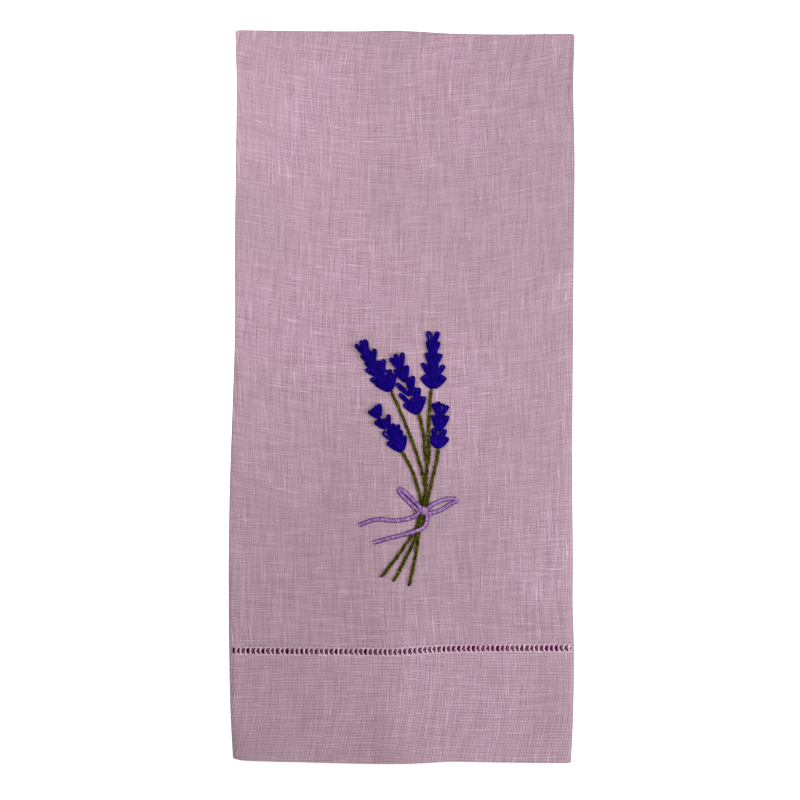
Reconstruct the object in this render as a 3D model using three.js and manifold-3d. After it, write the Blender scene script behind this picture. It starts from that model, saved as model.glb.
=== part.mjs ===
// A linen tea towel with an embroidered bunch of lavender, folded and laid face up on a table.
// Millimetres, +Z up. +Y is the top of the folded panel and +X its right-hand side, seen from above.
// The origin is on the table, under the middle of the towel.
// The cloth was folded in half across, which makes the top fold, and then in three lengthwise, with both
// side flaps behind, so it lies six layers deep.
import * as THREE from "three";
import { mergeVertices } from "three/addons/utils/BufferGeometryUtils.js";
import Module from "manifold-3d";

const wasm = await Module();
wasm.setup();

// The cloth and the room between its layers
const SHEET = 1.0; // one layer with its soft surface
const LEAF_GAP = 0.4; // between the two leaves of the half fold
const PAIR_GAP = 0.5; // between the double layers of the letter fold
const PAIR = 2 * SHEET + LEAF_GAP;
const LEAF_OFFSET = (SHEET + LEAF_GAP) / 2; // from the middle of a double layer to the middle of a leaf

// Heights of the middles of the three double layers
const BACK_Z = PAIR / 2;
const MIDDLE_Z = BACK_Z + PAIR + PAIR_GAP;
const PANEL_Z = MIDDLE_Z + PAIR + PAIR_GAP;

// The two lengthwise folds, measured at the middle of the double layer
const RIGHT_RADIUS = (PANEL_Z - BACK_Z) / 2;
const LEFT_RADIUS = (PANEL_Z - MIDDLE_Z) / 2;
const RIGHT_REACH = RIGHT_RADIUS + PAIR / 2;
const LEFT_REACH = LEFT_RADIUS + PAIR / 2;
const BACK_FLAP_INSET = 4.5; // free edge of the back flap, inside the left fold
const MIDDLE_FLAP_INSET = 1.0; // free edge of the middle flap, inside the right fold

// The ends of the flaps stay a little inside the ends of the panel
const FLAP_END_INSET = 1.2;
const INNER_LEAF_SHORTER = 1.5;

// The hem band stands proud of the single cloth, and the drawn-thread row lies lower
const HEM_RISE = 0.2;
const ROW_DEPTH = 0.3;
const ROW_HALF = 1.4;
const ROW_SLOPE = 0.8;

// Where the two lengthwise folds lie at each height of the panel
const SIDE_FOLDS = [
  { y: 190, left: -86.2, right: 89.9 },
  { y: 163, left: -85.7, right: 89.4 },
  { y: 124, left: -86.1, right: 89.9 },
  { y: 85, left: -86.7, right: 89.6 },
  { y: 35, left: -86.8, right: 89.2 },
  { y: -5, left: -88.0, right: 88.8 },
  { y: -45, left: -89.4, right: 88.7 },
  { y: -85, left: -90.0, right: 89.0 },
  { y: -130, left: -89.8, right: 89.7 },
  { y: -163, left: -89.0, right: 89.2 },
  { y: -188, left: -87.4, right: 88.3 },
];

// Where the top fold, the drawn-thread row and the bottom edge lie at each place across the panel
const ENDS = [
  { x: -88, top: 190.6, row: -131.9, bottom: -187.6 },
  { x: -84, top: 191.0, row: -132.0, bottom: -188.9 },
  { x: -58, top: 190.8, row: -132.2, bottom: -189.7 },
  { x: -24, top: 190.5, row: -132.2, bottom: -190.7 },
  { x: -4, top: 190.8, row: -132.1, bottom: -191.0 },
  { x: 11, top: 190.0, row: -131.3, bottom: -190.3 },
  { x: 26, top: 189.3, row: -130.8, bottom: -189.7 },
  { x: 52, top: 189.1, row: -130.7, bottom: -190.2 },
  { x: 82, top: 189.3, row: -130.6, bottom: -190.4 },
  { x: 89, top: 189.1, row: -130.6, bottom: -189.4 },
];

// The soft ridge down the panel: its height at each y, and the share of it at each x
const RIDGE_HEIGHT = [
  { y: 190, height: 1.3 },
  { y: 100, height: 1.7 },
  { y: 0, height: 2.5 },
  { y: -100, height: 3.1 },
  { y: -190, height: 3.6 },
];
const RIDGE_SHARE = [
  { x: -72, share: 0 },
  { x: -42, share: 0.3 },
  { x: -20, share: 0.72 },
  { x: -5, share: 1 },
  { x: 5, share: 0.9 },
  { x: 16, share: 0.5 },
  { x: 30, share: 0.16 },
  { x: 60, share: 0 },
];
const MIDDLE_RIDGE = 0.5; // how much of the ridge the middle flap takes up

// The lines across one leaf, from the bottom edge up, and how far each stands proud on the outer side
const OUTER_LINES = [
  { from: "bottom", off: 0, proud: 0 },
  { from: "bottom", off: 2, proud: HEM_RISE },
  { from: "bottom", off: 30, proud: HEM_RISE },
  { from: "row", off: -ROW_HALF - ROW_SLOPE, proud: HEM_RISE },
  { from: "row", off: -ROW_HALF, proud: -ROW_DEPTH },
  { from: "row", off: ROW_HALF, proud: -ROW_DEPTH },
  { from: "row", off: ROW_HALF + ROW_SLOPE, proud: 0 },
  { from: "row", off: 40, proud: 0 },
  { from: "row", off: 85, proud: 0 },
  { from: "row", off: 130, proud: 0 },
  { from: "row", off: 175, proud: 0 },
  { from: "row", off: 220, proud: 0 },
  { from: "row", off: 265, proud: 0 },
  { from: "row", off: 298, proud: 0 },
];
const INNER_LINES = OUTER_LINES.filter((line) => line.from === "bottom" || line.proud === 0);
const TURN_STEPS = 4; // facets round the top fold

// How finely each stretch of the letter fold is stepped, in the order that the cloth runs
const STRETCHES = [
  { name: "back", steps: 6 },
  { name: "rightFold", steps: 6 },
  { name: "panel", steps: 22 },
  { name: "leftFold", steps: 5 },
  { name: "middle", steps: 10 },
];

// The embroidery: threads lie on the cloth with this clearance
const CLEAR = 0.3;
const PETAL = { width: 2.4, height: 1.1, round: 6, rings: 3 };
const SPINE = { width: 1.6, height: 0.8 };
const STEM = { width: 1.5, height: 0.9 };
const BAND = { width: 2.2, height: 0.8 };
const KNOT = { x: 11.2, y: -58.9, width: 4.4, length: 4.8, height: 1.3, round: 10, rings: 6 };

// A thread's section: flat below, straight up to the shoulder, then in to a narrower crown
const SHOULDER = 0.6; // share of the height
const CROWN = 0.5; // share of the width

// The flower heads: where each starts, how it leans to the right of straight up, and its whorls of petals
const HEADS = [
  { x: -5.7, y: 3.4, lean: -33, length: 32, whorls: 5, petal: 8.8, spread: 38 },
  { x: 8.6, y: -8.4, lean: -23, length: 35, whorls: 4, petal: 10, spread: 36 },
  { x: 15.2, y: 4.4, lean: 0, length: 30, whorls: 5, petal: 8.4, spread: 38 },
  { x: 0.0, y: -28.0, lean: -34, length: 28, whorls: 3, petal: 11, spread: 30 },
  { x: 19.2, y: -26.3, lean: 2, length: 25, whorls: 3, petal: 10, spread: 18 },
];
const PETALS_BY_WHORL = { first: 5, other: 4, last: 3 };
const LAST_PETAL = 0.75; // length of the top petals against the bottom ones
const UPPER_FAN = 0.8; // spread of the upper whorls against the bottom one
const STRAND_STEP = 4.5; // length of one straight facet along a thread
const HEAD_TO_STEM = 1.0; // a stem starts this far below its flower head

// The stems, each from its flower head down to the knot, and the three cut ends below it
const STEM_ROUTES = [
  [[-5.7, 3.4], [0.8, -11], [5.8, -24], [9.8, -36], [12.0, -46]],
  [[8.6, -8.4], [10.9, -17], [12.0, -28], [13.0, -36], [12.3, -46], [11.2, -58]],
  [[15.2, 4.4], [14.3, -7], [13.8, -17], [14.1, -28], [13.6, -36]],
  [[0, -28], [5, -37.4], [8.1, -46.2], [10.4, -56]],
  [[18.8, -26.3], [18.3, -32], [16.1, -41.3], [14.2, -50], [12, -57.5]],
  [[10.4, -57], [7.6, -67], [-0.3, -79.6], [-10.6, -93]],
  [[11.6, -59], [9.6, -67], [3.5, -80.4], [-4.2, -95.4]],
  [[11.0, -59], [9.0, -69], [7.3, -81], [3.7, -97.6]],
];
const STEMS_WITH_HEAD = 5; // the first routes start at a flower head

// The bow: two loops and two tails, each from the knot and, for a loop, back to it
const BOW_ROUTES = [
  [[9.6, -58.2], [4.4, -51.6], [-1.4, -47.2], [-2.2, -47.8], [2.6, -54.4], [8.8, -58.9]],
  [[12.6, -58.2], [17, -54.6], [22.5, -52.4], [27.6, -52.2], [28.6, -53.6], [22, -57.7], [12.6, -60.2]],
  [[9.8, -59.4], [4.3, -62.4], [-4.5, -63.8], [-12, -63.2], [-22.1, -66.5]],
  [[12.4, -60], [13.1, -64.6], [8.6, -69], [-3.4, -72.6], [-14.1, -75.3]],
];

const COLOURS = {
  cloth: 0xb89aa8,
  violet: 0x1e0082,
  olive: 0x4b500a,
  lilac: 0xaa82cd,
};

// A smooth reading of a table: the column's value at one place along the key column.
function along(table, key, column, at) {
  const rows = table[0][key] < table[table.length - 1][key] ? table : [...table].reverse();
  if (at <= rows[0][key]) return rows[0][column];
  const last = rows.length - 1;
  if (at >= rows[last][key]) return rows[last][column];
  const i = rows.findIndex((row, n) => n < last && at < rows[n + 1][key]);
  const slope = (n) => {
    const a = rows[Math.max(n - 1, 0)];
    const b = rows[Math.min(n + 1, last)];
    return (b[column] - a[column]) / (b[key] - a[key]);
  };
  const span = rows[i + 1][key] - rows[i][key];
  const t = (at - rows[i][key]) / span;
  const near = rows[i][column];
  const far = rows[i + 1][column];
  return (
    near * (2 * t ** 3 - 3 * t ** 2 + 1) +
    far * (3 * t ** 2 - 2 * t ** 3) +
    slope(i) * span * (t ** 3 - 2 * t ** 2 + t) +
    slope(i + 1) * span * (t ** 3 - t ** 2)
  );
}

// Height of the ridge above the flat panel.
function ridge(x, y) {
  const share = Math.max(along(RIDGE_SHARE, "x", "share", x), 0);
  return share * along(RIDGE_HEIGHT, "y", "height", y);
}

function ridgeSlope(x, y) {
  return ridge(x + 0.5, y) - ridge(x - 0.5, y);
}

// The middle of the double layer at one step of the letter fold, with its outward direction in X and Z.
// flap is 0 on the front panel and 1 on the flaps behind it.
function foldPoint(stretch, t, y) {
  const left = along(SIDE_FOLDS, "y", "left", y) + LEFT_REACH;
  const right = along(SIDE_FOLDS, "y", "right", y) - RIGHT_REACH;
  if (stretch === "back") {
    const start = left - LEFT_REACH + BACK_FLAP_INSET;
    return { x: start + (right - start) * t, z: BACK_Z, nx: 0, nz: -1, flap: 1 };
  }
  if (stretch === "rightFold") {
    const a = (t - 0.5) * Math.PI;
    const z = (BACK_Z + PANEL_Z) / 2 + RIGHT_RADIUS * Math.sin(a);
    return { x: right + RIGHT_RADIUS * Math.cos(a), z, nx: Math.cos(a), nz: Math.sin(a), flap: 1 - t };
  }
  if (stretch === "leftFold") {
    const a = (t + 0.5) * Math.PI;
    const z = (MIDDLE_Z + PANEL_Z) / 2 + LEFT_RADIUS * Math.sin(a);
    return { x: left + LEFT_RADIUS * Math.cos(a), z, nx: Math.cos(a), nz: Math.sin(a), flap: t };
  }
  const onPanel = stretch === "panel";
  const end = onPanel ? right : right - MIDDLE_FLAP_INSET;
  const x = onPanel ? end + (left - end) * t : left + (end - left) * t;
  const share = onPanel ? 1 : MIDDLE_RIDGE;
  const slope = share * ridgeSlope(x, y);
  const up = onPanel ? 1 : -1;
  const length = Math.hypot(slope, 1);
  const z = (onPanel ? PANEL_Z : MIDDLE_Z) + share * ridge(x, y);
  return { x, z, nx: (-up * slope) / length, nz: up / length, flap: onPanel ? 0 : 1 };
}

// The cloth's section along Y, from the outer leaf's bottom edge over the top fold to the inner leaf's.
// turn is 0 on the outer leaf and pi on the inner one.
function sectionLines() {
  const outer = OUTER_LINES.map((line) => ({ ...line, turn: 0 }));
  const inner = INNER_LINES.map((line) => ({ ...line, proud: 0, turn: Math.PI })).reverse();
  const turns = [];
  for (let i = 0; i <= TURN_STEPS; i++)
    turns.push({ from: "top", off: 0, proud: 0, turn: (Math.PI * i) / TURN_STEPS });
  return [...outer, ...turns, ...inner];
}

// One point of the outer or inner side of the sheet: side is 1 outside and -1 inside.
function clothPoint(stretch, t, line, side) {
  const at = foldPoint(stretch, t, along(ENDS, "x", line.from, 0) + line.off);
  const pulledIn = FLAP_END_INSET * at.flap;
  const reach = LEAF_OFFSET + (side * SHEET) / 2;
  let y = along(ENDS, "x", line.from, at.x) + line.off;
  if (line.from === "bottom") y += pulledIn;
  if (line.from === "bottom" && line.off === 0 && line.turn > 0) y += INNER_LEAF_SHORTER;
  if (line.from === "top") y += reach * Math.sin(line.turn) - LEAF_OFFSET - SHEET / 2 - pulledIn;
  const proud = side > 0 ? line.proud * (1 - at.flap) : 0;
  const n = reach * Math.cos(line.turn) + proud;
  return [at.x + n * at.nx, y, at.z + n * at.nz];
}

// The whole cloth: the section swept through the letter fold, closed at its four edges.
function clothGeometry() {
  const lines = sectionLines();
  const steps = [];
  for (const { name, steps: count } of STRETCHES)
    for (let i = steps.length ? 1 : 0; i <= count; i++) steps.push({ name, t: i / count });
  const positions = [];
  for (const { name, t } of steps)
    for (const side of [1, -1]) for (const line of lines) positions.push(...clothPoint(name, t, line, side));
  const row = lines.length;
  const at = (step, side, line) => (step * 2 + (side > 0 ? 0 : 1)) * row + line;
  const index = [];
  const quad = (a, b, c, d) => index.push(a, c, b, a, d, c);
  for (let s = 0; s + 1 < steps.length; s++) {
    for (let k = 0; k + 1 < row; k++) {
      quad(at(s, 1, k), at(s + 1, 1, k), at(s + 1, 1, k + 1), at(s, 1, k + 1));
      quad(at(s, -1, k), at(s, -1, k + 1), at(s + 1, -1, k + 1), at(s + 1, -1, k));
    }
    quad(at(s, 1, 0), at(s, -1, 0), at(s + 1, -1, 0), at(s + 1, 1, 0));
    const end = row - 1;
    quad(at(s, 1, end), at(s + 1, 1, end), at(s + 1, -1, end), at(s, -1, end));
  }
  const last = steps.length - 1;
  for (let k = 0; k + 1 < row; k++) {
    quad(at(0, 1, k), at(0, 1, k + 1), at(0, -1, k + 1), at(0, -1, k));
    quad(at(last, 1, k), at(last, -1, k), at(last, -1, k + 1), at(last, 1, k + 1));
  }
  const geometry = new THREE.BufferGeometry();
  geometry.setAttribute("position", new THREE.Float32BufferAttribute(positions, 3));
  geometry.setIndex(index);
  geometry.computeVertexNormals();
  return geometry;
}

// The cloth's face under a thread.
function faceHeight(x, y) {
  return PANEL_Z + PAIR / 2 + ridge(x, y);
}

// A closed geometry as a solid that can be joined to others.
function solid(geometry) {
  const bare = geometry.index ? geometry.toNonIndexed() : geometry.clone();
  bare.deleteAttribute("normal");
  bare.deleteAttribute("uv");
  const merged = mergeVertices(bare, 1e-4);
  return new wasm.Manifold(
    new wasm.Mesh({
      numProp: 3,
      vertProperties: merged.attributes.position.array,
      triVerts: new Uint32Array(merged.index.array),
    }),
  );
}

// Closed geometries joined into one, then laid on the cloth by a height for each x and y.
function joinedOnCloth(parts, heightAt) {
  const joined = parts.map(solid).reduce((a, b) => a.add(b));
  const mesh = joined.getMesh();
  const positions = Float32Array.from(mesh.vertProperties);
  for (let i = 0; i < positions.length; i += 3) positions[i + 2] += heightAt(positions[i], positions[i + 1]);
  const geometry = new THREE.BufferGeometry();
  geometry.setAttribute("position", new THREE.BufferAttribute(positions, 3));
  geometry.setIndex(Array.from(mesh.triVerts));
  geometry.computeVertexNormals();
  return geometry;
}

// An oval pad that lies on z = 0, with its middle at the origin and its length along Y.
function pad({ width, height, round, rings }, length) {
  return new THREE.SphereGeometry(0.5, round, rings)
    .rotateX(Math.PI / 2)
    .scale(width, length, height)
    .translate(0, 0, height / 2);
}

// One petal from its root in the given direction, in degrees right of straight up.
function petal(x, y, direction, length) {
  const turn = THREE.MathUtils.degToRad(direction);
  return pad(PETAL, length)
    .rotateZ(-turn)
    .translate(x + (Math.sin(turn) * length) / 2, y + (Math.cos(turn) * length) / 2, 0);
}

// The petals of one flower head, on the line of stitches that joins its whorls.
function lavenderHead({ x, y, lean, length, whorls, petal: longest, spread }) {
  const turn = THREE.MathUtils.degToRad(lean);
  const reach = length - (longest * LAST_PETAL) / 2;
  const top = [x + Math.sin(turn) * reach, y + Math.cos(turn) * reach];
  const petals = [strand([[x, y], top], SPINE)];
  for (let w = 0; w < whorls; w++) {
    const share = w / (whorls - 1);
    const size = longest * THREE.MathUtils.lerp(1, LAST_PETAL, share);
    const up = share * (length - size);
    const place = w === 0 ? "first" : w < whorls - 1 ? "other" : "last";
    const count = PETALS_BY_WHORL[place];
    const fan = w === 0 ? spread : spread * UPPER_FAN;
    for (let p = 0; p < count; p++) {
      const direction = lean + fan * ((2 * p) / (count - 1) - 1);
      petals.push(petal(x + Math.sin(turn) * up, y + Math.cos(turn) * up, direction, size));
    }
  }
  return petals;
}

// The smooth line through a route of points, at one height.
function routeCurve(route, z) {
  const points = route.map(([x, y]) => new THREE.Vector3(x, y, z));
  return new THREE.CatmullRomCurve3(points, false, "centripetal");
}

// A flat-bottomed thread of the given width and height along a route.
function strand(route, { width, height }) {
  const curve = routeCurve(route, 0);
  const side = width / 2;
  const crown = side * CROWN;
  const shoulder = height * SHOULDER;
  const half = [[0, side], [shoulder, side], [height, crown]];
  const corners = [...half.map(([z, w]) => [z, -w]), ...half.reverse()];
  // On a flat route the section's first axis points down.
  const section = new THREE.Shape(corners.map(([z, w]) => new THREE.Vector2(-z, w)));
  const steps = Math.ceil(curve.getLength() / STRAND_STEP);
  return new THREE.ExtrudeGeometry(section, { steps, extrudePath: curve, bevelEnabled: false });
}

// The routes of the stems, the first ones started a little below their flower heads.
function stemRoutes() {
  return STEM_ROUTES.map((route, n) => {
    if (n >= STEMS_WITH_HEAD) return route;
    const [[x, y], [nextX, nextY]] = route;
    const share = HEAD_TO_STEM / Math.hypot(nextX - x, nextY - y);
    return [[x + (nextX - x) * share, y + (nextY - y) * share], ...route.slice(1)];
  });
}

// The bow is raised in full this near to a stem's middle line, and not at all past the second distance
const BRIDGE_FULL = STEM.width / 2 + 1.4;
const BRIDGE_END = BRIDGE_FULL + 2.4;
const STEM_SAMPLES = 40; // points taken along each stem to measure from
const STEM_POINTS = stemRoutes().flatMap((route) => routeCurve(route, 0).getSpacedPoints(STEM_SAMPLES));

function bridge(x, y) {
  const away = Math.min(...STEM_POINTS.map((p) => Math.hypot(p.x - x, p.y - y)));
  const share = 1 - THREE.MathUtils.smoothstep(away, BRIDGE_FULL, BRIDGE_END);
  return share * (STEM.height + CLEAR);
}

function bowParts() {
  const knot = pad(KNOT, KNOT.length).translate(KNOT.x, KNOT.y, 0);
  return [knot, ...BOW_ROUTES.map((route) => strand(route, BAND))];
}

const onCloth = (x, y) => faceHeight(x, y) + CLEAR;
const overStems = (x, y) => onCloth(x, y) + bridge(x, y);

const towel = new THREE.Group();

function addPiece(name, geometry, colour, roughness) {
  const material = new THREE.MeshStandardMaterial({ color: colour, roughness, metalness: 0 });
  const mesh = new THREE.Mesh(geometry, material);
  mesh.name = name;
  towel.add(mesh);
}

addPiece("towel_cloth", clothGeometry(), COLOURS.cloth, 0.9);
HEADS.forEach((head, n) => {
  addPiece(`lavender_head_${n + 1}`, joinedOnCloth(lavenderHead(head), onCloth), COLOURS.violet, 0.6);
});
addPiece("stems", joinedOnCloth(stemRoutes().map((route) => strand(route, STEM)), onCloth), COLOURS.olive, 0.6);
addPiece("bow", joinedOnCloth(bowParts(), overStems), COLOURS.lilac, 0.6);

export default towel;
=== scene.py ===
# %% [markdown]
# # A folded linen tea towel with an embroidered bunch of lavender
#
# The towel is one rectangle of mauve linen. It was folded in half across, which made the top fold, and then
# in three lengthwise with both side flaps behind. Five lavender sprigs are stitched on the front, tied with
# a bow, and a drawn-thread row runs across above the deep hem.
#
# The solids of the frame already have the towel's size and place. This script gives the cloth its thin
# sheet, and the embroidery its real stitches, on the same folds. Sizes are in millimetres until a mesh is
# made, because that is how one thinks about cloth.

# %% Load the frame
import math

import bpy
import numpy as np
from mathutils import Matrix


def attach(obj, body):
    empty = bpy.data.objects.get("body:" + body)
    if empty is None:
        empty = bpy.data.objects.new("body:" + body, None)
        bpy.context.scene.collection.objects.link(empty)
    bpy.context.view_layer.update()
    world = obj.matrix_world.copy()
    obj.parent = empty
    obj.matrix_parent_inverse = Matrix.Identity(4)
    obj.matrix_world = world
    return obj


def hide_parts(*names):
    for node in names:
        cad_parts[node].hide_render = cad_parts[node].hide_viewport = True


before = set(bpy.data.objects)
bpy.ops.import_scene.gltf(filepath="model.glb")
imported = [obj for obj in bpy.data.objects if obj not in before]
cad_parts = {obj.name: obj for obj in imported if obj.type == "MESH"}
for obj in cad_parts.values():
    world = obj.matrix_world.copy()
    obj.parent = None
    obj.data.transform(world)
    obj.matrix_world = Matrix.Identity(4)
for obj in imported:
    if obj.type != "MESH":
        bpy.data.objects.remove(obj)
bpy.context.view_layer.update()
MM = 0.001
chance = np.random.default_rng(7)

# %% [markdown]
# ## Reading a short table
#
# A folded cloth is never quite straight. Its outline could be drawn as a curve with many points, but a
# short table is easier to read and to change: an entry for each place that was looked at, and a smooth
# curve between them. Arrays of places are read all at once, which keeps a mesh of many thousand points quick
# to make.

# %% Read a table smoothly
def along(table, key, column, at):
    """The column's value at each place of the key column, on a smooth curve through the rows."""
    order = np.argsort(table[key])
    place = np.asarray(table[key], float)[order]
    value = np.asarray(table[column], float)[order]
    at = np.clip(np.asarray(at, float), place[0], place[-1])
    low = np.clip(np.searchsorted(place, at, side="right") - 1, 0, len(place) - 2)
    before = np.maximum(np.arange(len(place)) - 1, 0)
    after = np.minimum(np.arange(len(place)) + 1, len(place) - 1)
    slope = (value[after] - value[before]) / (place[after] - place[before])
    span = place[low + 1] - place[low]
    t = (at - place[low]) / span
    near = value[low] * (2 * t**3 - 3 * t**2 + 1) + slope[low] * span * (t**3 - 2 * t**2 + t)
    far = value[low + 1] * (3 * t**2 - 2 * t**3) + slope[low + 1] * span * (t**3 - t**2)
    return near + far


def smooth(low, high, at):
    """0 below low, 1 above high, and an even rise between."""
    t = np.clip((np.asarray(at, float) - low) / (high - low), 0, 1)
    return t * t * (3 - 2 * t)


# %% [markdown]
# ## The towel's sizes
#
# These are the driving sizes of the folded cloth: how far apart its layers lie, where the two lengthwise
# folds run, and where the top fold, the drawn-thread row and the bottom edge lie. The layers are those of
# the solid. The edges were looked at once more for the sheet, and lie within a millimetre of the solid's.

# %% Sizes and outline
LAYER = 1.0  # room that one layer takes in the stack
LINEN = 0.5  # thickness of the sheet itself
LEAF_GAP = 0.4  # between the two leaves of a double layer
PAIR_GAP = 0.5  # between one double layer and the next
PAIR = 2 * LAYER + LEAF_GAP
FACE = PAIR / 2  # from the middle of a double layer to its outer face

BACK_Z = FACE
MIDDLE_Z = BACK_Z + PAIR + PAIR_GAP
PANEL_Z = MIDDLE_Z + PAIR + PAIR_GAP
RIGHT_RADIUS = (PANEL_Z - BACK_Z) / 2
LEFT_RADIUS = (PANEL_Z - MIDDLE_Z) / 2
BACK_FLAP_INSET = 4.5  # from the left fold to the edge of the back flap
MIDDLE_FLAP_INSET = 1.0  # from the right fold to the edge of the middle flap
FLAP_END_INSET = 1.2  # the flaps end this much inside the panel, above and below
INNER_LEAF_SHORTER = 1.5
HEM_RISE = 0.2  # the hem is doubled, so it stands out from the cloth above it
ROW_HALF = 1.4  # half the height of the drawn-thread row

SIDE_FOLDS = {
    "y": [190, 163, 124, 85, 35, -5, -45, -85, -108, -130, -163, -188],
    "left": [-86.6, -85.9, -86.3, -86.8, -86.8, -88.0, -89.4, -90.0, -90.0, -89.8, -89.1, -87.8],
    "right": [89.9, 89.2, 89.9, 89.5, 89.1, 88.8, 88.7, 89.0, 88.9, 89.5, 89.2, 88.1],
}
ENDS = {
    "x": [-88, -84, -58, -24, -4, 11, 26, 52, 82, 89],
    "top": [191.4, 191.6, 191.1, 190.8, 191.0, 190.4, 189.7, 189.4, 189.6, 189.8],
    "row": [-131.9, -132.0, -132.2, -132.2, -132.1, -131.3, -130.8, -130.7, -130.6, -130.6],
    "bottom": [-187.7, -189.0, -189.7, -190.2, -190.1, -189.9, -189.5, -190.1, -190.5, -190.5],
}
RIDGE_HEIGHT = {"y": [190, 100, 0, -100, -190], "height": [1.3, 1.7, 2.5, 3.1, 3.6]}
RIDGE_SHARE = {
    "x": [-72, -42, -20, -5, 5, 16, 30, 60],
    "share": [0, 0.3, 0.72, 1, 0.9, 0.5, 0.16, 0],
}
MIDDLE_RIDGE = 0.5  # how much of the panel's ridge the flap under it has
print("stack", round(PANEL_Z + FACE, 2), "mm")

# %% [markdown]
# ## Soft creases
#
# Ironed linen keeps faint creases and hollows. A noise would spread them evenly, which looks like sand.
# Each is placed here one by one as a soft trough or ridge: where it lies, which way it runs, how long and
# wide it is and how high. They are a few tenths of a millimetre, just enough to catch the light.

# %% Ridge and creases
CREASES = [
    {"x": 52, "y": 172, "turn": 80, "long": 60, "wide": 16, "high": -0.45},
    {"x": -62, "y": 150, "turn": 86, "long": 70, "wide": 22, "high": 0.35},
    {"x": -18, "y": 120, "turn": 88, "long": 80, "wide": 10, "high": -0.3},
    {"x": 30, "y": 96, "turn": 95, "long": 60, "wide": 12, "high": 0.25},
    {"x": 70, "y": 60, "turn": 84, "long": 70, "wide": 12, "high": -0.3},
    {"x": -64, "y": 30, "turn": 100, "long": 60, "wide": 14, "high": -0.3},
    {"x": -40, "y": -60, "turn": 96, "long": 70, "wide": 14, "high": -0.35},
    {"x": 52, "y": -60, "turn": 92, "long": 70, "wide": 14, "high": 0.3},
    {"x": -70, "y": -110, "turn": 80, "long": 50, "wide": 10, "high": 0.25},
    {"x": -22, "y": -165, "turn": 96, "long": 40, "wide": 9, "high": -0.4},
    {"x": 62, "y": -168, "turn": 84, "long": 40, "wide": 12, "high": -0.35},
]


def ridge(x, y):
    return np.maximum(along(RIDGE_SHARE, "x", "share", x), 0) * along(RIDGE_HEIGHT, "y", "height", y)


def creases(x, y):
    """Height of the soft creases, which die out before the folds at the sides."""
    total = np.zeros(np.broadcast(x, y).shape)
    for c in CREASES:
        a = math.radians(c["turn"])
        run = (x - c["x"]) * math.cos(a) + (y - c["y"]) * math.sin(a)
        off = (y - c["y"]) * math.cos(a) - (x - c["x"]) * math.sin(a)
        total = total + c["high"] * np.exp(-((run / c["long"]) ** 2) - (off / c["wide"]) ** 2)
    return total * smooth(86, 70, np.abs(x))


def face_height(x, y):
    """Height of the front face of the panel above the table."""
    return PANEL_Z + FACE + ridge(x, y) + creases(x, y)


print("face", round(float(face_height(0.0, 0.0)), 2), "mm high at the middle")

# %% [markdown]
# ## Walking along the folded cloth
#
# Seen from the bottom edge, the double layer runs along the back flap, round the right fold, across the
# front panel, round the left fold and along the middle flap. A cloth simulation could fold a flat sheet this
# way, but it would not stop on the solid's folds. Walking the path by formula does, and it also gives every
# point its place on the flat cloth, which the weave needs.

# %% The path of the letter fold
RIGHT_REACH = RIGHT_RADIUS + FACE
LEFT_REACH = LEFT_RADIUS + FACE
PRESSED_OUT = 0.55  # an ironed fold lies flatter than the solid's round one, and reaches this much further


def fold_point(stretch, t, y):
    """Middle of the double layer at share t of a stretch: x, z, its outward direction, and 1 on a flap."""
    left = along(SIDE_FOLDS, "y", "left", y) - PRESSED_OUT + LEFT_REACH
    right = along(SIDE_FOLDS, "y", "right", y) + PRESSED_OUT - RIGHT_REACH
    one = np.ones_like(left)
    if stretch == "back":
        start = left - LEFT_REACH + BACK_FLAP_INSET
        return start + (right - start) * t, BACK_Z * one, 0 * one, -one, 1.0
    if stretch == "right fold":
        a = (t - 0.5) * math.pi
        x = right + RIGHT_RADIUS * math.cos(a)
        z = (BACK_Z + PANEL_Z) / 2 + RIGHT_RADIUS * math.sin(a)
        return x, z * one, math.cos(a) * one, math.sin(a) * one, float(smooth(0.55, 0.1, t))
    if stretch == "left fold":
        a = (t + 0.5) * math.pi
        x = left + LEFT_RADIUS * math.cos(a)
        z = (MIDDLE_Z + PANEL_Z) / 2 + LEFT_RADIUS * math.sin(a)
        return x, z * one, math.cos(a) * one, math.sin(a) * one, float(smooth(0.45, 0.9, t))
    on_panel = stretch == "panel"
    end = right if on_panel else right - MIDDLE_FLAP_INSET
    x = end + (left - end) * t if on_panel else left + (end - left) * t
    share = 1 if on_panel else MIDDLE_RIDGE
    rise = share * ridge(x, y) + (creases(x, y) if on_panel else 0)
    slope = share * (ridge(x + 0.5, y) - ridge(x - 0.5, y))
    up = 1 if on_panel else -1
    length = np.hypot(slope, 1)
    z = (PANEL_Z if on_panel else MIDDLE_Z) + rise
    return x, z, -up * slope / length, up / length, 0.0 if on_panel else 1.0


STRETCHES = [("back", 34), ("right fold", 12), ("panel", 100), ("left fold", 10), ("middle", 30)]
PATH = [(name, i / count) for name, count in STRETCHES for i in range(count + 1)]
PATH = [step for n, step in enumerate(PATH) if n == 0 or step[1] > 0]
print("steps along the path", len(PATH))

# %% [markdown]
# ## The lines across the path
#
# The other way, the cloth runs from the front leaf's bottom edge up over the drawn-thread row to the top
# fold, and down inside to the other end. Lines lie close together where the shape turns, at the row and at
# the top fold, and further apart on the hidden inner leaf.

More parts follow.
